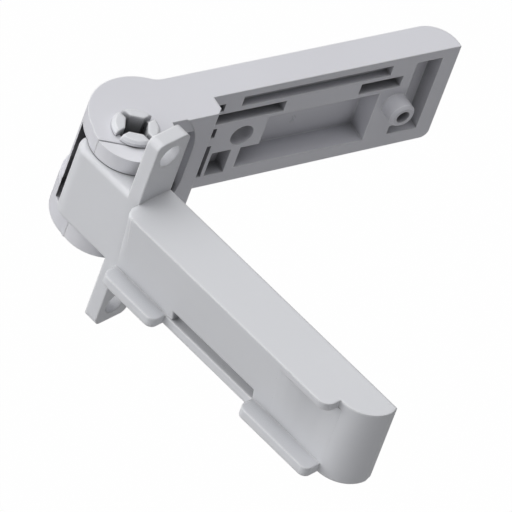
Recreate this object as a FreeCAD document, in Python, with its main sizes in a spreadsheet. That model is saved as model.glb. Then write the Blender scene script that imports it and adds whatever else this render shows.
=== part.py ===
import FreeCAD
import Part
import Sketcher
import math
import os
import re

# Freezer door hinge of satin moulded plastic. The frame bracket is screwed to the cabinet by its two
# ears. Its hinge block carries a split pivot collar at the top and at the bottom. The door arm's forked
# knuckle turns on the collars, and an insert closes the round nose of each plate in front of them.
# Z is the hinge axis, with the origin at mid-height. X runs along the frame bracket to its far end,
# and Y points to the bracket's open back. Lengths are in millimetres and angles in degrees.

SIZES = [
    ("rest_angle", 75.8),
    ("running_gap", 0.06),
    ("side_gap", 0.3),
    ("knuckle_half", 17.1),
    ("plate_thick", 5.0),
    ("collar_radius", 4.75),
    ("lip_radius", 6.25),
    ("lip_height", 1.7),
    ("lip_gap", 0.15),
    ("lip_bevel", 0.7),
    ("finger_slit", 1.6),
    ("finger_depth", 9.0),
    ("pivot_bore_radius", 2.9),
    ("socket_side", 5.9),
    ("barrel_radius", 9.5),
    ("block_left", 8.1),
    ("block_front", 12.5),
    ("block_corner_fillet", 4.5),
    ("block_edge_fillet", 1.4),
    ("bracket_back", 1.3),
    ("ear_start", 12.9),
    ("ear_thick", 4.0),
    ("ear_reach", 32.3),
    ("ear_hole_inset", 5.8),
    ("ear_hole_radius", 3.35),
    ("ear_corner_fillet", 2.0),
    ("box_length", 85.3),
    ("box_top", 11.8),
    ("box_bottom", 13.0),
    ("wall", 2.5),
    ("lip_front", 17.7),
    ("lip_plate", 2.5),
    ("lip_far_end", 92.4),
    ("lip_corner_fillet", 3.0),
    ("lip_near_round", 2.5),
    ("wedge_end", 76.0),
    ("end_corner_radius", 9.0),
    ("end_facet", 0.6),
    ("ledge_thick", 2.75),
    ("strip_reach", 0.4),
    ("flange_reach", 5.0),
    ("near_flange_length", 19.0),
    ("far_flange_start", 68.3),
    ("far_flange_length", 25.2),
    ("flange_corner_fillet", 2.0),
    ("slot_start", 38.0),
    ("slot_length", 30.2),
    ("slot_height", 3.5),
    ("hood_radius", 15.0),
    ("hood_offset_along", 4.7),
    ("hood_offset_back", 2.6),
    ("nose_radius", 11.0),
    ("cavity_radius", 13.0),
    ("foot_rise", 4.6),
    ("foot_reach", 1.0),
    ("foot_extra", 1.0),
    ("arm_length", 100.6),
    ("arm_face", 5.1),
    ("arm_back", 14.25),
    ("arm_end_fillet", 8.0),
    ("arm_foot_fillet", 2.3),
    ("arm_blend_fillet", 6.0),
    ("arm_taper", 1.3),
    ("cheek_proud", 0.5),
    ("cheek_start", 20.4),
    ("cheek_end", 26.2),
    ("cheek_bevel", 1.6),
    ("flare_radius", 17.15),
    ("flare_height", 12.0),
    ("flare_depth", 3.6),
    ("plate_inset", 0.35),
    ("insert_mid_angle", 242.0),
    ("insert_chord", 5.65),
    ("insert_gap", 0.15),
    ("insert_step", 0.3),
    ("screw_hole_along", 39.8),
    ("screw_hole_radius", 3.35),
    ("boss_along", 85.5),
    ("boss_radius", 3.6),
    ("boss_bevel", 0.7),
    ("pilot_radius", 1.9),
    ("pilot_depth", 9.0),
]

# Recesses in the door arm's inner face: start along the arm, length, top edge, height and depth.
RECESSES = {
    "long_slot": (36.2, 44.8, 14.8, 3.5, 2.4),
    "near_slot": (26.7, 23.7, 9.8, 3.7, 6.2),
    "far_slot": (72.8, 12.6, 10.1, 3.8, 6.2),
    "main_pocket": (46.4, 33.4, 5.1, 17.1, 6.4),
    "pocket_toe": (40.9, 5.5, -4.8, 7.2, 6.4),
    "square_pocket": (32.3, 5.8, -4.8, 8.2, 4.2),
    "far_recess": (88.3, 7.8, 14.1, 25.7, 4.8),
    "recess_foot": (87.0, 1.3, -8.7, 2.9, 4.8),
    "upper_slit": (26.6, 4.4, 13.5, 2.7, 2.4),
    "middle_slit": (26.6, 4.5, 4.5, 3.3, 3.0),
    "lower_slit": (26.6, 4.6, -1.8, 11.2, 3.0),
}
RECESS_FIELDS = ("start", "length", "top", "height", "depth")
for recess, numbers in RECESSES.items():
    for field, number in zip(RECESS_FIELDS, numbers):
        SIZES.append(("%s_%s" % (recess, field), number))

doc = FreeCAD.newDocument("freezer_door_hinge")
sheet = doc.addObject("Spreadsheet::Sheet", "Sizes")
for row, (alias, number) in enumerate(SIZES, start=1):
    sheet.set("A%d" % row, alias.replace("_", " "))
    sheet.set("B%d" % row, str(number))
    sheet.setAlias("B%d" % row, alias)
doc.recompute()

KEPT_WORDS = ("sin", "cos", "sqrt", "deg", "pi")
TINY = 1e-6


def bind(text):
    """Turn each size name in an expression into a reference to its cell."""
    return re.sub(r"[a-z]\w*", lambda m: m.group() if m.group() in KEPT_WORDS else "Sizes." + m.group(), text)


def value(text):
    return float(sheet.evalExpression(bind(text)))


def new_body(label):
    body = doc.addObject("PartDesign::Body", label)
    body.Label = label
    return body


def new_sketch(body, name, role, level):
    """An empty sketch on one of the body's origin planes, moved along that plane's normal to level."""
    plane = [feature for feature in body.Origin.OriginFeatures if feature.Role == role][0]
    sketch = body.newObject("Sketcher::SketchObject", name + "_outline")
    sketch.AttachmentSupport = [(plane, "")]
    sketch.MapMode = "FlatFace"
    sketch.setExpression("AttachmentOffset.Base.z", bind(level))
    return sketch


def hold(sketch, kind, edge, end, text):
    number = sketch.addConstraint(Sketcher.Constraint(kind, -1, 1, edge, end, value(text)))
    sketch.setExpression("Constraints[%d]" % number, bind(text))


def polygon(body, name, role, level, corners):
    sketch = new_sketch(body, name, role, level)
    points = [FreeCAD.Vector(value(x), value(y), 0) for x, y in corners]
    for index, point in enumerate(points):
        sketch.addGeometry(Part.LineSegment(point, points[(index + 1) % len(points)]))
    for index, (x, y) in enumerate(corners):
        previous = (index - 1) % len(points)
        sketch.addConstraint(Sketcher.Constraint("Coincident", previous, 2, index, 1))
        hold(sketch, "DistanceX", index, 1, x)
        hold(sketch, "DistanceY", index, 1, y)
    return sketch


def rectangle(body, name, role, level, left, right, low, high):
    corners = [(left, low), (right, low), (right, high), (left, high)]
    return polygon(body, name, role, level, corners)


def circle(body, name, role, level, x, y, radius):
    sketch = new_sketch(body, name, role, level)
    centre = FreeCAD.Vector(value(x), value(y), 0)
    sketch.addGeometry(Part.Circle(centre, FreeCAD.Vector(0, 0, 1), value(radius)))
    hold(sketch, "DistanceX", 0, 3, x)
    hold(sketch, "DistanceY", 0, 3, y)
    number = sketch.addConstraint(Sketcher.Constraint("Radius", 0, value(radius)))
    sketch.setExpression("Constraints[%d]" % number, bind(radius))
    return sketch


def settle(feature):
    """Recompute, and stop at the feature that failed."""
    doc.recompute()
    if "Invalid" in feature.State or "Touched" in feature.State or feature.Shape.isNull():
        raise RuntimeError("%s failed: %s" % (feature.Name, feature.State))
    return feature


def pad(body, name, sketch, length, both_ways=False):
    """Material from the sketch along its plane's normal, or half of it each way."""
    feature = body.newObject("PartDesign::Pad", name)
    feature.Profile = sketch
    feature.SideType = "Symmetric" if both_ways else "One side"
    feature.setExpression("Length", bind(length))
    return settle(feature)


def pocket(body, name, sketch, length, both_ways=False, along_normal=False):
    """A cut from the sketch against its plane's normal, which has to remove material."""
    before = body.Shape.Volume
    feature = body.newObject("PartDesign::Pocket", name)
    feature.Profile = sketch
    feature.SideType = "Symmetric" if both_ways else "One side"
    feature.Reversed = along_normal
    feature.setExpression("Length", bind(length))
    settle(feature)
    if not body.Shape.Volume < before - TINY:
        raise RuntimeError("%s removed nothing" % name)
    return feature


def edges_where(body, test):
    """Names of the body's edges whose middle point and direction pass the test."""
    names = []
    for index, edge in enumerate(body.Shape.Edges, start=1):
        first, last = edge.ParameterRange
        middle = edge.valueAt((first + last) / 2)
        if test(edge, middle):
            names.append("Edge%d" % index)
    return names


def is_upright(edge):
    ends = [vertex.Point for vertex in edge.Vertexes]
    return len(ends) == 2 and math.hypot(ends[0].x - ends[1].x, ends[0].y - ends[1].y) < 1e-4


def close_to(point, x, y, reach=0.05):
    return math.hypot(point.x - x, point.y - y) < reach


def fillet(body, name, names, radius):
    if not names:
        raise RuntimeError("%s found no edge" % name)
    feature = body.newObject("PartDesign::Fillet", name)
    feature.Base = (body.Tip if body.Tip != feature else feature.BaseFeature, names)
    feature.setExpression("Radius", bind(radius))
    return settle(feature)


def chamfer(body, name, names, size):
    if not names:
        raise RuntimeError("%s found no edge" % name)
    feature = body.newObject("PartDesign::Chamfer", name)
    feature.Base = (body.Tip if body.Tip != feature else feature.BaseFeature, names)
    feature.setExpression("Size", bind(size))
    return settle(feature)


# The hinge block stands between the fork's two plates.
BLOCK_HEIGHT = "2 * (knuckle_half - plate_thick - side_gap)"
BOX_START = "ear_start + ear_thick"
BOX_END = "ear_start + ear_thick + box_length"
LEDGE_TOP = "ledge_thick - box_bottom"


def hinge_block(body):
    pad(body, "barrel", circle(body, "barrel", "XY_Plane", "0", "0", "0", "barrel_radius"),
        BLOCK_HEIGHT, both_ways=True)
    outline = rectangle(body, "block", "XY_Plane", "0", "-block_left", BOX_START,
                        "-block_front", "-bracket_back")
    pad(body, "block", outline, BLOCK_HEIGHT, both_ways=True)
    left, front = -value("block_left"), -value("block_front")
    corner = edges_where(body, lambda edge, middle: is_upright(edge) and close_to(middle, left, front))
    fillet(body, "block_corner_fillet", corner, "block_corner_fillet")
    level = value(BLOCK_HEIGHT) / 2

    def on_front_rim(edge, middle):
        in_front = middle.y < front + value("block_corner_fillet") + 0.05 or abs(middle.x - left) < 0.05
        return abs(abs(middle.z) - level) < 0.01 and in_front

    fillet(body, "block_edge_fillet", edges_where(body, on_front_rim), "block_edge_fillet")


def arm_box(body):
    """The long box: an upright wall with a rounded far end, under a wedge that leans out to the top lip."""
    facet = "%s - end_facet" % BOX_END
    straight = rectangle(body, "box", "XY_Plane", "-box_bottom", "ear_start", BOX_END,
                         "-block_front", "-bracket_back")
    pad(body, "box", straight, "box_top + box_bottom")
    end_x, front = value(BOX_END), -value("block_front")
    corner = edges_where(body, lambda edge, middle: is_upright(edge) and close_to(middle, end_x, front))
    fillet(body, "end_corner_fillet", corner, "end_corner_radius")
    cut = polygon(body, "end_facet", "XY_Plane", "box_top",
                  [(BOX_END, "-bracket_back - 4 * end_facet"), (facet, "-bracket_back"),
                   (BOX_END, "-bracket_back")])
    pocket(body, "end_facet", cut, "box_top + box_bottom")


LEAN = "(lip_front - block_front) / (box_top + box_bottom - ledge_thick)"


def top_lip(body):
    """The wall that leans out to the top edge, and the lip that overhangs where the wall falls back."""
    start = "%s + lip_near_round" % BOX_START
    wedge = polygon(body, "wedge", "YZ_Plane", start,
                    [("-block_front", LEDGE_TOP), ("-block_front", "box_top"), ("-lip_front", "box_top")])
    pad(body, "wedge", wedge, "wedge_end - ear_start - ear_thick - lip_near_round")
    under = "-lip_front + %s * lip_plate" % LEAN
    lip = polygon(body, "top_lip", "YZ_Plane", start,
                  [("-wall - bracket_back", "box_top - lip_plate"), (under, "box_top - lip_plate"),
                   ("-lip_front", "box_top"), ("-wall - bracket_back", "box_top")])
    pad(body, "top_lip", lip, "lip_far_end - ear_start - ear_thick - lip_near_round")


def ledges(body):
    """The bottom strip along the wall, and the two flanges that reach further out."""
    strip = rectangle(body, "bottom_strip", "XY_Plane", "-box_bottom", BOX_START,
                      "far_flange_start + far_flange_length", "-block_front - strip_reach", "-block_front + wall")
    pad(body, "bottom_strip", strip, "ledge_thick")
    near_end = "%s + near_flange_length" % BOX_START
    far_end = "far_flange_start + far_flange_length"
    for name, start, end in (("near_flange", BOX_START, near_end), ("far_flange", "far_flange_start", far_end)):
        flange = rectangle(body, name, "XY_Plane", "-box_bottom", start, end,
                           "-block_front - flange_reach", "-block_front + wall")
        pad(body, name, flange, "ledge_thick")
    outer = -value("block_front + flange_reach")
    ends = [value(place) for place in (BOX_START, near_end, "far_flange_start", far_end)]

    def at_flange_corner(edge, middle):
        low = middle.z < value(LEDGE_TOP) + 0.01
        return low and is_upright(edge) and any(close_to(middle, x, outer) for x in ends)

    fillet(body, "flange_corner_fillet", edges_where(body, at_flange_corner), "flange_corner_fillet")
    lip_y = value("-lip_front + %s * lip_plate / 2" % LEAN)
    lip_end = value("lip_far_end")

    def at_lip_corner(edge, middle):
        return middle.z > value("box_top - lip_plate") and close_to(middle, lip_end, lip_y)

    fillet(body, "lip_corner_fillet", edges_where(body, at_lip_corner), "lip_corner_fillet")


def box_hollow(body):
    """The inside of the box, open at the back, with the slot through its front wall."""
    floor = "wall - box_bottom"
    roof = "box_top - wall"
    start = "%s + wall" % BOX_START
    leaning = polygon(body, "leaning_hollow", "YZ_Plane", start,
                      [("-bracket_back + 1", floor), ("-bracket_back + 1", roof),
                       ("-block_front + 1.1 * wall - %s * (%s - %s)" % (LEAN, roof, LEDGE_TOP), roof),
                       ("-block_front + 1.1 * wall", floor)])
    pocket(body, "leaning_hollow", leaning, "wedge_end - ear_start - ear_thick - wall", along_normal=True)
    centre_x = "%s - end_corner_radius" % BOX_END
    centre_y = "end_corner_radius - block_front"
    depth = "box_top + box_bottom - 2 * wall"
    inner_end = "%s - wall" % BOX_END
    front = rectangle(body, "end_hollow", "XY_Plane", roof, "wedge_end - 1", centre_x,
                      "wall - block_front", "-bracket_back + 1")
    pocket(body, "end_hollow", front, depth)
    corner = circle(body, "corner_hollow", "XY_Plane", roof, centre_x, centre_y, "end_corner_radius - wall")
    pocket(body, "corner_hollow", corner, depth)
    back = rectangle(body, "back_hollow", "XY_Plane", roof, centre_x, inner_end, centre_y, "-bracket_back + 1")
    pocket(body, "back_hollow", back, depth)
    slot = rectangle(body, "wall_slot", "XZ_Plane", "lip_front + 1", "slot_start",
                     "slot_start + slot_length", LEDGE_TOP, "%s + slot_height" % LEDGE_TOP)
    pocket(body, "wall_slot", slot, "lip_front + 1 - block_front + 2 * wall")


def ears(body):
    outline = rectangle(body, "ears", "YZ_Plane", "ear_start", "-block_front", "-bracket_back",
                        "-ear_reach", "ear_reach")
    pad(body, "ears", outline, "ear_thick")
    tip = value("ear_reach")
    sides = (-value("block_front"), -value("bracket_back"))

    def at_ear_corner(edge, middle):
        at_side = min(abs(middle.y - side) for side in sides) < 0.02
        return abs(abs(middle.z) - tip) < 0.02 and at_side

    fillet(body, "ear_corner_fillet", edges_where(body, at_ear_corner), "ear_corner_fillet")
    across = "-(block_front + bracket_back) / 2"
    for name, height in (("upper_ear_hole", "ear_reach - ear_hole_inset"), ("lower_ear_hole", "ear_hole_inset - ear_reach")):
        hole = circle(body, name, "YZ_Plane", "ear_start + ear_thick + 1", across, height, "ear_hole_radius")
        pocket(body, name, hole, "ear_thick + 2")


def pivot_collars(body):
    """A split collar at each end of the barrel, with a snap lip over the knuckle's outer face."""
    reach = "knuckle_half + lip_gap + lip_height"
    low_reach = "(%s + foot_extra)" % reach
    stem = circle(body, "collar_stem", "XY_Plane", "-" + low_reach, "0", "0", "collar_radius")
    pad(body, "collar_stem", stem, "%s + %s" % (reach, low_reach))
    for name, level in (("upper_lip", "knuckle_half + lip_gap"), ("lower_lip", "-" + low_reach)):
        pad(body, name, circle(body, name, "XY_Plane", level, "0", "0", "lip_radius"), "lip_height")
    tips, rim = (value(reach), -value(low_reach)), value("lip_radius")

    def on_lip_rim(edge, middle):
        round_rim = abs(math.hypot(middle.x, middle.y) - rim) < 0.01
        return round_rim and min(abs(middle.z - tip) for tip in tips) < 0.01

    chamfer(body, "lip_bevel", edges_where(body, on_lip_rim), "lip_bevel")
    bore = circle(body, "pivot_bore", "XY_Plane", "0", "0", "0", "pivot_bore_radius")
    pocket(body, "pivot_bore", bore, "2 * %s + 2" % low_reach, both_ways=True)
    corner = "socket_side * sqrt(0.5)"
    half_slit = "finger_slit / 2"
    span = "lip_radius + 0.5"
    ends = (("upper", "%s + 1" % reach, "finger_depth + 1", False),
            ("lower", "-(%s + 1)" % low_reach, "finger_depth + foot_extra + 1", True))
    for side, level, depth, upwards in ends:
        outlines = {
            "_socket": polygon(body, side + "_socket", "XY_Plane", level,
                               [(corner, "0"), ("0", corner), ("-" + corner, "0"), ("0", "-" + corner)]),
            "_slit_along": rectangle(body, side + "_slit_along", "XY_Plane", level,
                                     "-(%s)" % span, span, "-" + half_slit, half_slit),
            "_slit_across": rectangle(body, side + "_slit_across", "XY_Plane", level,
                                      "-" + half_slit, half_slit, "-(%s)" % span, span),
        }
        for ending, outline in outlines.items():
            pocket(body, side + ending, outline, depth, along_normal=upwards)


def frame_bracket():
    body = new_body("frame_bracket")
    hinge_block(body)
    arm_box(body)
    top_lip(body)
    ledges(body)
    box_hollow(body)
    ears(body)
    pivot_collars(body)
    return body


# The door arm and its inserts are drawn closed, lying along X behind the bracket, and turned by
# the rest angle at the end.
FOOT_LEVEL = "-(knuckle_half + foot_extra)"


def knuckle(body):
    """The hood's round back, the thick root beside it and the round nose in front."""
    hood = circle(body, "hood", "XY_Plane", "0", "hood_offset_along", "hood_offset_back", "hood_radius")
    pad(body, "hood", hood, "2 * knuckle_half", both_ways=True)
    front = rectangle(body, "hood_front", "XY_Plane", "0", "-2 * hood_radius", "3 * hood_radius",
                      "-2 * hood_radius", "0")
    pocket(body, "hood_front", front, "2 * knuckle_half + 2", both_ways=True)
    bar = rectangle(body, "arm_bar", "XY_Plane", "0", "hood_offset_along", "arm_length", "arm_face", "arm_back")
    pad(body, "arm_bar", bar, "2 * knuckle_half", both_ways=True)
    root = rectangle(body, "root", "XY_Plane", "0", "0", "cheek_end", "-cheek_proud", "arm_face + 1")
    pad(body, "root", root, "2 * knuckle_half", both_ways=True)
    end_x, proud = value("cheek_end"), -value("cheek_proud")
    corner = edges_where(body, lambda edge, middle: is_upright(edge) and close_to(middle, end_x, proud))
    chamfer(body, "cheek_bevel", corner, "cheek_bevel")
    for side, height in (("upper", "knuckle_half - flare_height"), ("lower", "flare_height - knuckle_half")):
        name = side + "_flare"
        flare = circle(body, name, "XZ_Plane", "cheek_proud", "cheek_start - flare_radius", height, "flare_radius")
        pocket(body, name, flare, "flare_depth")
    window = rectangle(body, "cheek_window", "XZ_Plane", "cheek_proud", "0", "cheek_start",
                       "flare_height - knuckle_half", "knuckle_half - flare_height")
    pocket(body, "cheek_window", window, "flare_depth")
    for side, level in (("upper", "knuckle_half - plate_thick"), ("lower", "-knuckle_half")):
        name = side + "_plate_front"
        front = rectangle(body, name, "XY_Plane", level, "0", "cheek_start", "plate_inset - cheek_proud", "arm_face")
        pad(body, name, front, "plate_thick")
    nose = circle(body, "nose", "XY_Plane", "0", "0", "0", "nose_radius")
    pad(body, "nose", nose, "2 * knuckle_half", both_ways=True)


def underside_taper(body):
    """The arm's lower edge rises towards its far end."""
    taper = polygon(body, "arm_taper", "XZ_Plane", "cheek_proud + 1",
                    [("cheek_end", "-knuckle_half"), ("cheek_end", "-knuckle_half - 1"),
                     ("arm_length", "-knuckle_half - 1"), ("arm_length", "arm_taper - knuckle_half")])
    pocket(body, "arm_taper", taper, "arm_back + cheek_proud + 2")


def outer_edges(body):
    end_x, back = value("arm_length"), value("arm_back")
    corner = edges_where(body, lambda edge, middle: is_upright(edge) and close_to(middle, end_x, back))
    fillet(body, "arm_end_fillet", corner, "arm_end_fillet")
    rise = value("arm_back - hood_offset_back")
    meet_x = value("hood_offset_along") + math.sqrt(value("hood_radius") ** 2 - rise ** 2)
    blend = edges_where(body, lambda edge, middle: is_upright(edge) and close_to(middle, meet_x, back, 0.2))
    fillet(body, "arm_blend_fillet", blend, "arm_blend_fillet")
    foot = value("arm_taper - knuckle_half")

    def at_end_foot(edge, middle):
        return abs(middle.x - end_x) < 0.01 and abs(middle.z - foot) < 0.01

    fillet(body, "arm_foot_fillet", edges_where(body, at_end_foot), "arm_foot_fillet")


def knuckle_foot(body):
    """The wider and deeper lower end of the knuckle."""
    along = "hood_offset_along + foot_reach * cos(146 * 1deg)"
    back = "hood_offset_back + foot_reach * sin(146 * 1deg)"
    sketch = new_sketch(body, "hood_foot", "XY_Plane", FOOT_LEVEL)
    centre = FreeCAD.Vector(value(along), value(back), 0)
    rim = Part.Circle(centre, FreeCAD.Vector(0, 0, 1), value("hood_radius"))
    dip = -math.asin(centre.y / rim.Radius)
    arc = Part.ArcOfCircle(rim, dip, math.pi - dip)
    sketch.addGeometry(arc)
    sketch.addGeometry(Part.LineSegment(arc.EndPoint, arc.StartPoint))
    sketch.addConstraint(Sketcher.Constraint("Coincident", 0, 2, 1, 1))
    sketch.addConstraint(Sketcher.Constraint("Coincident", 1, 2, 0, 1))
    sketch.addConstraint(Sketcher.Constraint("PointOnObject", 0, 1, -1))
    sketch.addConstraint(Sketcher.Constraint("PointOnObject", 0, 2, -1))
    hold(sketch, "DistanceX", 0, 3, along)
    hold(sketch, "DistanceY", 0, 3, back)
    number = sketch.addConstraint(Sketcher.Constraint("Radius", 0, rim.Radius))
    sketch.setExpression("Constraints[%d]" % number, bind("hood_radius"))
    pad(body, "hood_foot", sketch, "foot_extra + plate_thick + foot_rise")
    nose = circle(body, "nose_foot", "XY_Plane", FOOT_LEVEL, "0", "0", "nose_radius")
    pad(body, "nose_foot", nose, "foot_extra + plate_thick / 2")


def cavity(body):
    """The round space for the hinge block between the two plates."""
    space = circle(body, "cavity", "XY_Plane", "0", "0", "0", "cavity_radius")
    pocket(body, "cavity", space, "2 * (knuckle_half - plate_thick)", both_ways=True)
    hole = circle(body, "collar_hole", "XY_Plane", "0", "0", "0", "collar_radius + running_gap")
    pocket(body, "collar_hole", hole, "2 * (knuckle_half + foot_extra) + 2", both_ways=True)


def beyond_chord(distance):
    """The region past a straight chord of the nose, at the given distance from the axis."""
    corners = []
    for out, side in ((distance, "-1"), ("1.6 * nose_radius", "-1"), ("1.6 * nose_radius", "1"), (distance, "1")):
        across = "%s * 1.2 * nose_radius" % side
        corners.append(("(%s) * cos(insert_mid_angle * 1deg) - %s * sin(insert_mid_angle * 1deg)" % (out, across),
                        "(%s) * sin(insert_mid_angle * 1deg) + %s * cos(insert_mid_angle * 1deg)" % (out, across)))
    return corners


def insert_notches(body):
    """The plates' noses are cut off along a chord in front of the collar."""
    for side, level in (("upper", "knuckle_half + 1"), ("lower", "plate_thick - knuckle_half")):
        name = side + "_notch"
        notch = polygon(body, name, "XY_Plane", level, beyond_chord("insert_chord"))
        pocket(body, name, notch, "plate_thick + foot_extra + 1" if side == "lower" else "plate_thick + 1")


def face_recesses(body):
    for name in RECESSES:
        start, length, top, height, depth = ["%s_%s" % (name, field) for field in RECESS_FIELDS]
        outline = rectangle(body, name, "XZ_Plane", "-arm_face + 1", start, "%s + %s" % (start, length),
                            "%s - %s" % (top, height), top)
        pocket(body, name, outline, "%s + 1" % depth)


def boss_and_holes(body):
    boss = circle(body, "screw_boss", "XZ_Plane", "-arm_face - far_recess_depth", "boss_along", "0", "boss_radius")
    pad(body, "screw_boss", boss, "arm_face + far_recess_depth")
    rim = value("boss_radius")
    centre = value("boss_along")

    def on_boss_tip(edge, middle):
        return abs(middle.y) < 0.01 and abs(math.hypot(middle.x - centre, middle.z) - rim) < 0.01

    chamfer(body, "boss_bevel", edges_where(body, on_boss_tip), "boss_bevel")
    pilot = circle(body, "pilot_bore", "XZ_Plane", "1", "boss_along", "0", "pilot_radius")
    pocket(body, "pilot_bore", pilot, "pilot_depth + 1")
    hole = circle(body, "screw_hole", "XZ_Plane", "-arm_face + 1", "screw_hole_along", "0", "screw_hole_radius")
    pocket(body, "screw_hole", hole, "arm_back - arm_face + 2")


def door_arm():
    body = new_body("door_arm")
    knuckle(body)
    underside_taper(body)
    outer_edges(body)
    knuckle_foot(body)
    cavity(body)
    insert_notches(body)
    face_recesses(body)
    boss_and_holes(body)
    return body


def knuckle_insert(label, level, height):
    """The segment that completes a plate's round nose past the chord."""
    body = new_body(label)
    disc = circle(body, label + "_disc", "XY_Plane", level, "0", "0", "nose_radius")
    pad(body, label + "_disc", disc, height)
    rest = beyond_chord("-1.2 * nose_radius")
    rest[1:3] = beyond_chord("insert_chord + insert_gap")[0], beyond_chord("insert_chord + insert_gap")[3]
    cut = polygon(body, label + "_chord", "XY_Plane", level, rest)
    pocket(body, label + "_chord", cut, height, along_normal=True)
    return body


made = [
    frame_bracket(),
    door_arm(),
    knuckle_insert("upper_knuckle_insert", "knuckle_half - plate_thick", "plate_thick - insert_step"),
    knuckle_insert("lower_knuckle_insert", FOOT_LEVEL + " + insert_step", "plate_thick + foot_extra - insert_step"),
]

for node in made[1:]:
    node.setExpression("Placement.Rotation.Angle", "Sizes.rest_angle * 1deg")
doc.recompute()

for item in doc.Objects:
    if "Invalid" in item.State or "Error" in item.State:
        raise RuntimeError("%s failed: %s" % (item.Name, item.State))
os.makedirs("parts", exist_ok=True)
for node in made:
    if node.Shape.isNull() or not node.Shape.isValid():
        raise RuntimeError("%s has no valid shape" % node.Label)
    print(node.Label, len(node.Shape.Solids), round(node.Shape.Volume, 1), node.Shape.BoundBox)
    node.Shape.exportStep("parts/%s.step" % node.Label)
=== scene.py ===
import math

import bpy
import numpy as np
from mathutils import Matrix, Vector


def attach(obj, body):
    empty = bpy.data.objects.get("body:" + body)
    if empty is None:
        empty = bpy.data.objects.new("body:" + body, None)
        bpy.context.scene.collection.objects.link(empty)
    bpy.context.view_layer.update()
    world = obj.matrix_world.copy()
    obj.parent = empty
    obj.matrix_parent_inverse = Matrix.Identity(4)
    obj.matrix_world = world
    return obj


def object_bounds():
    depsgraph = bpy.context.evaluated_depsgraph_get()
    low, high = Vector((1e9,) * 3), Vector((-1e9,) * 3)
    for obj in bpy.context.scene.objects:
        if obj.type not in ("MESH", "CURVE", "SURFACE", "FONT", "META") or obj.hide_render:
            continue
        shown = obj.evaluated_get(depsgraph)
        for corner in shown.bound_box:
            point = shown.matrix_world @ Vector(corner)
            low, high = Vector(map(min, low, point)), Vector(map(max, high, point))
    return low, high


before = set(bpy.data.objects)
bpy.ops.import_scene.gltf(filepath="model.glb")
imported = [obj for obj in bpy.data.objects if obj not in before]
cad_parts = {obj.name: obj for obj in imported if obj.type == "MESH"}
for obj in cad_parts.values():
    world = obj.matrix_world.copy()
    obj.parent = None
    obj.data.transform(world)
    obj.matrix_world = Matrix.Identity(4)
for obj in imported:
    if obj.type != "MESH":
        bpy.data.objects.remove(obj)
cad_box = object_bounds()

# The view of the photograph: where the camera stands, where it looks and how it is tilted.
CAMERA_AZIMUTH = math.radians(32.07)
CAMERA_ELEVATION = math.radians(42.76)
CAMERA_ROLL = math.radians(-20.89)
CAMERA_DISTANCE = 3.2835
CAMERA_LENS = 921.8
CAMERA_SENSOR = 36.0
CAMERA_REACH = 20.0
CAMERA_TARGET = Vector((0.03559, 0.01745, -0.00444))
# The lamps, each with the way that it shines, its strength and how wide it looks in degrees.
KEY_LAMP = ((0.36, 0.02, -0.93), 1.8, 80.0)
FRONT_LAMP = ((0.62, 0.78, -0.1), 1.42, 50.0)
# The soft fill from all round: its strength, the side that it is brightest on, and by how much.
FILL_STRENGTH = 0.22
FILL_BRIGHT_SIDE = Vector((-0.3, -0.9, 0.3)).normalized()
FILL_CONTRAST = 0.7
# The floor: its depth below the hinge, half its width, its tone and how white the camera sees it.
FLOOR_DROP = 0.12
FLOOR_REACH = 1.5
FLOOR_TONE = 185
FLOOR_GLOW = 0.99


def linear(tone):
    """A display tone from 0 to 255 as the light value that shaders use."""
    share = tone / 255.0
    return share / 12.92 if share <= 0.04045 else ((share + 0.055) / 1.055) ** 2.4


def colour(red, green, blue):
    """A colour for a shader from three display tones."""
    return (linear(red), linear(green), linear(blue), 1.0)


class Nodes:
    """Short names for adding, setting and joining the nodes of one tree."""

    def __init__(self, tree):
        self.tree = tree

    def add(self, kind, **inputs):
        """A new node. Each name sets a property of the node, or else the input with that name."""
        node = self.tree.nodes.new(kind)
        for name, value in inputs.items():
            if hasattr(node, name) and name not in node.inputs:
                setattr(node, name, value)
            else:
                node.inputs[name].default_value = value
        return node

    def join(self, source, output, target, entry):
        self.tree.links.new(source.outputs[output], target.inputs[entry])


def new_group(name, entries, results):
    """An empty shader group with its named inputs, each with a first value, and its named outputs."""
    group = bpy.data.node_groups.new(name, "ShaderNodeTree")
    for label, kind, value in entries:
        socket = group.interface.new_socket(label, in_out="INPUT", socket_type=kind)
        socket.default_value = value
    for label, kind in results:
        group.interface.new_socket(label, in_out="OUTPUT", socket_type=kind)
    return group


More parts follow.
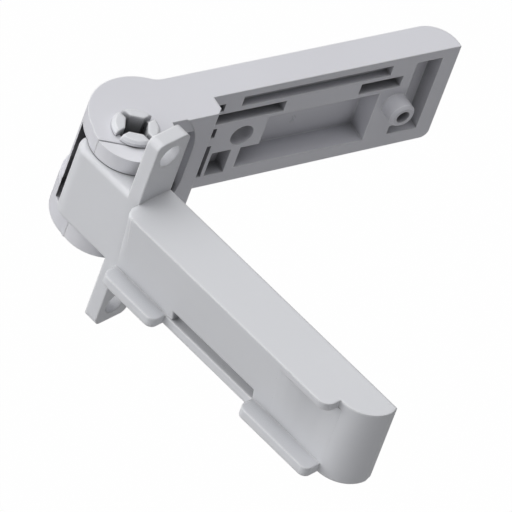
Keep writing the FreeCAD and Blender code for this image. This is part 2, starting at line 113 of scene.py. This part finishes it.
def moulded_surface_group():
    """Tone, roughness and height of a satin moulding: slow flow marks under a fine spark grain."""
    group = new_group(
        "moulded_surface",
        [("Colour", "NodeSocketColor", (0.8, 0.8, 0.8, 1.0)), ("Flow", "NodeSocketFloat", 0.03),
         ("Roughness", "NodeSocketFloat", 0.4), ("Grain", "NodeSocketFloat", 1.0)],
        [("Colour", "NodeSocketColor"), ("Roughness", "NodeSocketFloat"), ("Height", "NodeSocketFloat")])
    nodes = Nodes(group)
    entry = nodes.add("NodeGroupInput")
    result = nodes.add("NodeGroupOutput")
    place = nodes.add("ShaderNodeTexCoord")
    flow = nodes.add("ShaderNodeTexNoise", Scale=38.0, Detail=3.0, Roughness=0.45)
    nodes.join(place, "Object", flow, "Vector")
    swing = nodes.add("ShaderNodeMapRange")
    swing.inputs["To Min"].default_value = -1.0
    swing.inputs["To Max"].default_value = 1.0
    nodes.join(flow, "Fac", swing, "Value")
    amount = nodes.add("ShaderNodeMath", operation="MULTIPLY")
    nodes.join(swing, "Result", amount, 0)
    nodes.join(entry, "Flow", amount, 1)
    gain = nodes.add("ShaderNodeMath", operation="ADD")
    gain.inputs[1].default_value = 1.0
    nodes.join(amount, "Value", gain, 0)
    tint = nodes.add("ShaderNodeVectorMath", operation="SCALE")
    nodes.join(entry, "Colour", tint, 0)
    nodes.join(gain, "Value", tint, "Scale")
    nodes.join(tint, "Vector", result, "Colour")
    rough = nodes.add("ShaderNodeMath", operation="MULTIPLY_ADD")
    rough.inputs[1].default_value = 1.5
    nodes.join(amount, "Value", rough, 0)
    nodes.join(entry, "Roughness", rough, 2)
    nodes.join(rough, "Value", result, "Roughness")
    spark = nodes.add("ShaderNodeTexNoise", Scale=2600.0, Detail=2.0, Roughness=0.6)
    nodes.join(place, "Object", spark, "Vector")
    height = nodes.add("ShaderNodeMath", operation="MULTIPLY")
    nodes.join(spark, "Fac", height, 0)
    nodes.join(entry, "Grain", height, 1)
    nodes.join(height, "Value", result, "Height")
    return group


def soft_edge_group():
    """The rounded normal near an edge, and a mask of how far it turns from the flat one, which sets where the
    painted highlight goes.
    """
    group = new_group(
        "soft_edge",
        [("Radius", "NodeSocketFloat", 0.0003), ("Gain", "NodeSocketFloat", 7.0)],
        [("Normal", "NodeSocketVector"), ("Mask", "NodeSocketFloat")])
    nodes = Nodes(group)
    entry = nodes.add("NodeGroupInput")
    result = nodes.add("NodeGroupOutput")
    rounded = nodes.add("ShaderNodeBevel")
    rounded.samples = 6
    nodes.join(entry, "Radius", rounded, "Radius")
    flat = nodes.add("ShaderNodeNewGeometry")
    agree = nodes.add("ShaderNodeVectorMath", operation="DOT_PRODUCT")
    nodes.join(rounded, "Normal", agree, 0)
    nodes.join(flat, "Normal", agree, 1)
    turned = nodes.add("ShaderNodeMath", operation="SUBTRACT")
    turned.inputs[0].default_value = 1.0
    nodes.join(agree, "Value", turned, 1)
    mask = nodes.add("ShaderNodeMath", operation="MULTIPLY", use_clamp=True)
    nodes.join(turned, "Value", mask, 0)
    nodes.join(entry, "Gain", mask, 1)
    nodes.join(rounded, "Normal", result, "Normal")
    nodes.join(mask, "Value", result, "Mask")
    return group


MOULDED_SURFACE = moulded_surface_group()
SOFT_EDGE = soft_edge_group()


def painted_crevice_shade_group():
    """Painted shade: how open the surface is to its surroundings, 1 on open faces and lower in slots and
    corners, for darkening the colour where shade falls.
    """
    group = new_group(
        "painted_shade",
        [("Reach", "NodeSocketFloat", 0.011), ("Depth", "NodeSocketFloat", 0.9)],
        [("Openness", "NodeSocketFloat")])
    nodes = Nodes(group)
    entry = nodes.add("NodeGroupInput")
    result = nodes.add("NodeGroupOutput")
    around = nodes.add("ShaderNodeAmbientOcclusion")
    around.samples = 12
    nodes.join(entry, "Reach", around, "Distance")
    shut = nodes.add("ShaderNodeMath", operation="SUBTRACT")
    shut.inputs[0].default_value = 1.0
    nodes.join(around, "AO", shut, 1)
    deep = nodes.add("ShaderNodeMapRange")
    deep.inputs["From Min"].default_value = 0.45
    nodes.join(shut, "Value", deep, "Value")
    shade = nodes.add("ShaderNodeMath", operation="MULTIPLY")
    nodes.join(deep, "Result", shade, 0)
    nodes.join(entry, "Depth", shade, 1)
    openness = nodes.add("ShaderNodeMath", operation="SUBTRACT", use_clamp=True)
    openness.inputs[0].default_value = 1.0
    nodes.join(shade, "Value", openness, 1)
    nodes.join(openness, "Value", result, "Openness")
    return group


PAINTED_CREVICE_SHADE = painted_crevice_shade_group()


def moulded_plastic(name, body_colour, painted_highlight_colour, roughness, edge_radius, grain):
    """Satin plastic, its colour darkened by painted shade in its crevices, with softened edges that carry a
    painted highlight in a lighter colour.
    """
    material = bpy.data.materials.new(name)
    material.use_nodes = True
    nodes = Nodes(material.node_tree)
    shader = material.node_tree.nodes["Principled BSDF"]
    shader.inputs["IOR"].default_value = 1.5
    surface = nodes.add("ShaderNodeGroup", node_tree=MOULDED_SURFACE)
    surface.inputs["Colour"].default_value = body_colour
    surface.inputs["Roughness"].default_value = roughness
    surface.inputs["Grain"].default_value = grain
    edge = nodes.add("ShaderNodeGroup", node_tree=SOFT_EDGE)
    edge.inputs["Radius"].default_value = edge_radius
    # Painted highlight: the colour turns towards the lighter edge colour where the rounded normal leaves the
    # flat one.
    painted_highlight_mix = nodes.add("ShaderNodeMix", data_type="RGBA")
    nodes.join(edge, "Mask", painted_highlight_mix, "Factor")
    material.node_tree.links.new(surface.outputs["Colour"], painted_highlight_mix.inputs[6])
    painted_highlight_mix.inputs[7].default_value = painted_highlight_colour
    # Painted shade: the colour is scaled down where the surface is closed in, in slots, holes and corners.
    painted_shade = nodes.add("ShaderNodeGroup", node_tree=PAINTED_CREVICE_SHADE)
    shaded = nodes.add("ShaderNodeVectorMath", operation="SCALE")
    material.node_tree.links.new(painted_highlight_mix.outputs[2], shaded.inputs[0])
    nodes.join(painted_shade, "Openness", shaded, "Scale")
    nodes.join(shaded, "Vector", shader, "Base Color")
    nodes.join(surface, "Roughness", shader, "Roughness")
    bump = nodes.add("ShaderNodeBump", Strength=0.12, Distance=0.00002)
    nodes.join(surface, "Height", bump, "Height")
    nodes.join(edge, "Normal", bump, "Normal")
    nodes.join(bump, "Normal", shader, "Normal")
    return material


def dress(node, material):
    """Gives a CAD node its finish."""
    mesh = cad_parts[node].data
    mesh.materials.clear()
    mesh.materials.append(material)


# Each finish: body colour, the lighter colour of the painted highlight on its edges, roughness, edge radius
# and grain.
BRACKET = moulded_plastic("bracket_satin", colour(222, 223, 226), colour(250, 250, 252), 0.36, 0.0009, 1.0)
ARM = moulded_plastic("arm_satin", colour(221, 221, 226), colour(250, 250, 252), 0.36, 0.0005, 1.0)
INSERT = moulded_plastic("insert_satin", colour(228, 228, 232), colour(238, 238, 241), 0.32, 0.0003, 0.8)
dress("frame_bracket", BRACKET)
dress("door_arm", ARM)
dress("upper_knuckle_insert", INSERT)
dress("lower_knuckle_insert", INSERT)


# The leaning wall of the bracket, in millimetres: its upright front, its foot, its lean and its top.
WALL_FRONT = -12.5
WALL_FOOT = -10.25
WALL_LEAN = 0.2347
WALL_SKIN = 0.03
LIP_UNDERSIDE = 9.4
BOX_TOP = 11.8
# How much of the lean is left along the wall's two ends: beside the ear, and towards the far end.
NEAR_PLACES = (16.85, 17.4, 18.15, 18.9, 19.6, 20.8)
NEAR_SHARES = (0.45, 0.72, 0.9, 0.98, 1.0, 1.0)
FAR_PLACES = (74.6, 76.0, 78.5, 82.0, 85.4, 88.8, 93.6)
FAR_SHARES = (1.0, 1.0, 0.96, 0.75, 0.42, 0.16, 0.0)
# The rounded step from the wall's front onto the box: how far back, and how far below the box's top.
CREST_BACK = (0.01, 0.04, 0.1, 1.0)
CREST_DROP = (0.25, 0.08, 0.0, 0.0)
CREST_START = 0.5
# Points up the wall, and along its far and its near end. Shares are averaged over this many places.
WALL_STEPS = 13
FAR_STEPS = 70
NEAR_STEPS = 24
EASED_OVER = 5

# The arc on the floor of the long pocket, in millimetres: its middle, its radius and its bead's radius.
MARK_CENTRE = np.array((3.42, 60.35, -5.75))
MARK_RADIUS = 1.4
MARK_BEAD = 0.42
MARK_STEPS = 17
BEAD_STEPS = 9
# The door arm's own directions in the pose of the photo: along the arm, out of its inner face, and up.
DOOR_TURN = math.radians(75.8)
ALONG = np.array((math.cos(DOOR_TURN), math.sin(DOOR_TURN), 0.0))
OUT = np.array((math.sin(DOOR_TURN), -math.cos(DOOR_TURN), 0.0))
UP = np.array((0.0, 0.0, 1.0))


def sheet(name, points, material, body):
    """A smooth sheet through a grid of points in millimetres, which rides on a body."""
    rows, columns = points.shape[:2]
    corner = (np.arange(rows - 1)[:, None] * columns + np.arange(columns - 1)[None, :]).ravel()
    faces = np.stack((corner, corner + columns, corner + columns + 1, corner + 1), axis=1)
    mesh = bpy.data.meshes.new(name)
    mesh.from_pydata((points.reshape(-1, 3) * 0.001).tolist(), [], faces.tolist())
    mesh.shade_smooth()
    mesh.materials.append(material)
    piece = bpy.data.objects.new(name, mesh)
    bpy.context.scene.collection.objects.link(piece)
    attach(piece, body)


def eased_shares(places, shares, count):
    """Evenly spaced places, and the shares there, averaged over their neighbours to round the corners."""
    along = np.linspace(places[0], places[-1], count)
    padded = np.pad(np.interp(along, places, shares), EASED_OVER // 2, mode="edge")
    return along, np.convolve(padded, np.full(EASED_OVER, 1.0 / EASED_OVER), mode="valid")


def wall_end(name, places, shares, top, count, crest_back=(), crest_drop=()):
    """The wall's front where its lean changes: front = upright front - share * lean * height above the foot.

    The sheet stands a skin's width proud of the solid and sinks into it at both ends. Beyond its top it
    may run back over a rounded crest, each place a share of the way back to the upright wall.
    """
    along, left = eased_shares(places, shares, count)
    to_end = np.minimum(along - along[0], along[-1] - along)
    skin = WALL_SKIN * np.clip(3.0 * to_end - 0.3, -0.3, 1.0)
    height = np.linspace(WALL_FOOT, top, WALL_STEPS)
    front = WALL_FRONT - skin[:, None] - np.outer(left, WALL_LEAN * (height - WALL_FOOT))
    back = np.array(crest_back)
    over = front[:, -1:] + back * (WALL_FRONT + 1.0 - front[:, -1:])
    raised = BOX_TOP - np.array(crest_drop) + skin[:, None]
    points = np.empty((count, height.size + back.size, 3))
    points[:, :, 0] = along[:, None]
    points[:, :, 1] = np.hstack((front, over))
    points[:, :, 2] = np.hstack((np.tile(height, (count, 1)), raised))
    sheet(name, points, BRACKET, "frame")


def pocket_mark():
    """A raised arc on the floor of the long pocket: a half-round bead carried along a part circle.

    The bead's radius swells from its ends to its middle as the root of a sine, and its ends sink below
    the floor.
    """
    angle = np.radians(np.linspace(-88.0, 78.0, MARK_STEPS))
    swell = MARK_BEAD * np.sqrt(np.sin(np.linspace(0.06, math.pi - 0.06, MARK_STEPS)))
    around = np.radians(np.linspace(-20.0, 200.0, BEAD_STEPS))[None, :, None]
    spoke = np.outer(np.cos(angle), ALONG) + np.outer(np.sin(angle), UP)
    middle = MARK_CENTRE + MARK_RADIUS * spoke - np.outer(MARK_BEAD - swell, OUT)
    across = np.cos(around) * spoke[:, None] + np.sin(around) * OUT
    points = middle[:, None] + swell[:, None, None] * across
    sheet("pocket_mark", points, ARM, "door")


wall_end("wall_end_far", FAR_PLACES, FAR_SHARES, LIP_UNDERSIDE, FAR_STEPS)
wall_end("wall_end_near", NEAR_PLACES, NEAR_SHARES, BOX_TOP - CREST_START, NEAR_STEPS, CREST_BACK, CREST_DROP)
pocket_mark()


def add_camera():
    """Stands the camera back from its target along the photograph's view and tilts it."""
    forward = Vector((-math.sin(CAMERA_AZIMUTH) * math.cos(CAMERA_ELEVATION),
                      math.cos(CAMERA_AZIMUTH) * math.cos(CAMERA_ELEVATION),
                      -math.sin(CAMERA_ELEVATION)))
    level_right = forward.cross(Vector((0.0, 0.0, 1.0))).normalized()
    level_up = level_right.cross(forward)
    right = level_right * math.cos(CAMERA_ROLL) - level_up * math.sin(CAMERA_ROLL)
    up = level_up * math.cos(CAMERA_ROLL) + level_right * math.sin(CAMERA_ROLL)
    data = bpy.data.cameras.new("photo_camera")
    data.lens = CAMERA_LENS
    data.sensor_width = CAMERA_SENSOR
    data.clip_end = CAMERA_REACH
    camera = bpy.data.objects.new("photo_camera", data)
    bpy.context.scene.collection.objects.link(camera)
    turn = Matrix((right, up, -forward)).transposed().to_4x4()
    place = Matrix.Translation(CAMERA_TARGET - forward * CAMERA_DISTANCE)
    camera.matrix_world = place @ turn
    bpy.context.scene.camera = camera


def add_sun(name, direction, strength, softness):
    """A soft lamp that shines along a direction."""
    data = bpy.data.lights.new(name, "SUN")
    data.energy = strength
    data.angle = math.radians(softness)
    lamp = bpy.data.objects.new(name, data)
    lamp.rotation_euler = Vector(direction).to_track_quat("-Z", "Y").to_euler()
    bpy.context.scene.collection.objects.link(lamp)


def add_world():
    """White for the camera, and for the rest a soft fill: strength * (1 + contrast * cosine to its side)."""
    world = bpy.data.worlds.new("studio")
    world.use_nodes = True
    bpy.context.scene.world = world
    nodes = Nodes(world.node_tree)
    world.node_tree.nodes.clear()
    output = nodes.add("ShaderNodeOutputWorld")
    seen = nodes.add("ShaderNodeBackground")
    seen.inputs["Color"].default_value = (1.0, 1.0, 1.0, 1.0)
    fill = nodes.add("ShaderNodeBackground")
    fill.inputs["Color"].default_value = colour(250, 251, 255)
    place = nodes.add("ShaderNodeTexCoord")
    toward = nodes.add("ShaderNodeVectorMath", operation="DOT_PRODUCT")
    toward.inputs[1].default_value = FILL_BRIGHT_SIDE
    nodes.join(place, "Generated", toward, 0)
    strength = nodes.add("ShaderNodeMath", operation="MULTIPLY_ADD")
    strength.inputs[1].default_value = FILL_STRENGTH * FILL_CONTRAST
    strength.inputs[2].default_value = FILL_STRENGTH
    nodes.join(toward, "Value", strength, 0)
    nodes.join(strength, "Value", fill, "Strength")
    path = nodes.add("ShaderNodeLightPath")
    mix = nodes.add("ShaderNodeMixShader")
    nodes.join(path, "Is Camera Ray", mix, "Fac")
    world.node_tree.links.new(fill.outputs[0], mix.inputs[1])
    world.node_tree.links.new(seen.outputs[0], mix.inputs[2])
    nodes.join(mix, "Shader", output, "Surface")


def add_floor():
    """A pale floor below the hinge. The camera sees it nearly white, with the soft shadow left in."""
    corners = np.array([(-1, -1), (1, -1), (1, 1), (-1, 1)], float) * FLOOR_REACH
    level = min(cad_box[0][2], cad_box[1][2]) - FLOOR_DROP
    mesh = bpy.data.meshes.new("floor")
    mesh.from_pydata([(x, y, level) for x, y in corners], [], [(0, 1, 2, 3)])
    floor = bpy.data.objects.new("floor", mesh)
    bpy.context.scene.collection.objects.link(floor)
    material = bpy.data.materials.new("floor_white")
    material.use_nodes = True
    nodes = Nodes(material.node_tree)
    shader = material.node_tree.nodes["Principled BSDF"]
    shader.inputs["Base Color"].default_value = colour(FLOOR_TONE, FLOOR_TONE, FLOOR_TONE)
    shader.inputs["Roughness"].default_value = 0.9
    glow = nodes.add("ShaderNodeEmission", Strength=1.0)
    path = nodes.add("ShaderNodeLightPath")
    share = nodes.add("ShaderNodeMath", operation="MULTIPLY")
    share.inputs[1].default_value = FLOOR_GLOW
    nodes.join(path, "Is Camera Ray", share, 0)
    mix = nodes.add("ShaderNodeMixShader")
    nodes.join(share, "Value", mix, "Fac")
    material.node_tree.links.new(shader.outputs["BSDF"], mix.inputs[1])
    material.node_tree.links.new(glow.outputs["Emission"], mix.inputs[2])
    nodes.join(mix, "Shader", material.node_tree.nodes["Material Output"], "Surface")
    mesh.materials.append(material)


add_camera()
add_world()
add_sun("key", *KEY_LAMP)
add_sun("front_fill", *FRONT_LAMP)
add_floor()
bpy.context.scene.view_settings.view_transform = "Standard"
